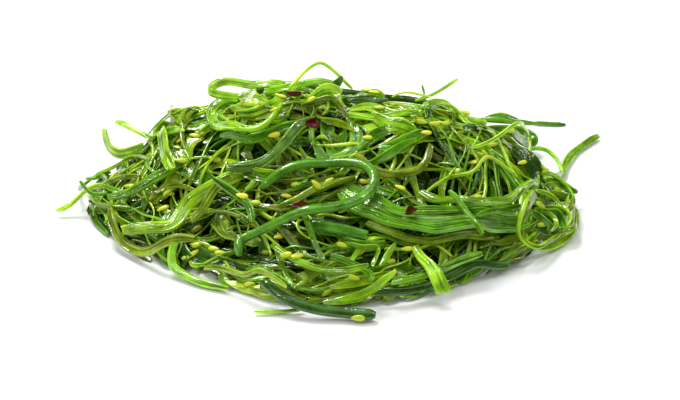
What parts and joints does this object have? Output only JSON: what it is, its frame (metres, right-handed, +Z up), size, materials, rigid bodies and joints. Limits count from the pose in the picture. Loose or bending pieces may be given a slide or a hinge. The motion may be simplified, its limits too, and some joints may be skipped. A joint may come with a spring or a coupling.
{
  "type": "heap of dressed wakame seaweed",
  "caption": "Low loose heap of shredded, dressed wakame seaweed with chili flakes and sesame, as it lies on a table.",
  "frame": {"origin": "on the table, under the middle of the heap's whole extent", "axes": "+Z up, +X to the right as the picture shows the heap, +Y away from the camera"},
  "size_m": [0.149, 0.112, 0.0375],
  "materials": {
    "tangle": "wet dark green seaweed, dressed with oil",
    "stem": "wet round seaweed stem, smooth and glossy",
    "strap": "wet ribbed seaweed midrib, light through its edges",
    "blade": "wet thin seaweed blade",
    "band": "wet olive seaweed, ribbed along its length",
    "strand": "wet shredded seaweed",
    "thread": "thin lime seaweed thread, light shows through it",
    "chili": "dried red chili skin, wet with dressing",
    "sesame": "sesame seed stained yellow-green by the dressing"
  },
  "bodies": {
    "root": {"strip_tangle": "tangle", "left_stray_stick": "strand", "front_left_curl": "strap", "front_stray_stick": "thread", "front_stem": "stem", "left_rim_band": "band", "right_rim_strand": "strand", "right_stray_strip": "strap", "right_lime_arch": "thread", "back_right_fold": "blade", "back_right_stick": "strand", "front_dark_band": "band", "front_green_band": "band", "front_low_leaf": "blade", "front_left_strand": "strand", "back_low_band": "band", "back_green_strap": "strap", "back_left_blade": "blade", "back_curl": "strap", "back_dark_stem": "stem", "lower_rim_band": "band", "broad_ribbed_band": "strap", "right_glossy_leaf": "blade", "right_clear_sheet": "strap", "right_bottom_loop": "strand", "right_side_loop": "strand", "right_hook": "band", "right_short_strip": "strand", "short_bright_stem": "stem", "front_folded_strip": "band", "front_cross_strip": "band", "front_short_leaf": "blade", "front_flat_strip": "strap", "front_hanging_strand": "strand", "left_diagonal_band": "strap", "left_wide_strap": "strap", "left_tongue": "strap", "left_bent_strip": "band", "left_hanging_leaf": "strap", "left_raised_ribbon": "strap", "left_raised_stick": "strand", "left_thin_loop": "thread", "under_coil_leaf": "blade", "crown_coil": "strap", "crown_top_loop": "strand", "crown_dark_blade": "blade", "crown_long_strip": "strand", "crown_thin_loop": "thread", "crown_right_blade": "blade", "broad_flat_blade": "blade", "right_top_strip": "strand", "right_top_thread": "thread", "u_shaped_band": "band", "ribbed_strap": "strap", "inner_ribbed_band": "band", "curled_stem": "stem", "chili_flake_crown": "chili", "chili_flake_middle": "chili", "chili_flake_front": "chili", "chili_flake_right": "chili"}
  },
  "joints": []
}
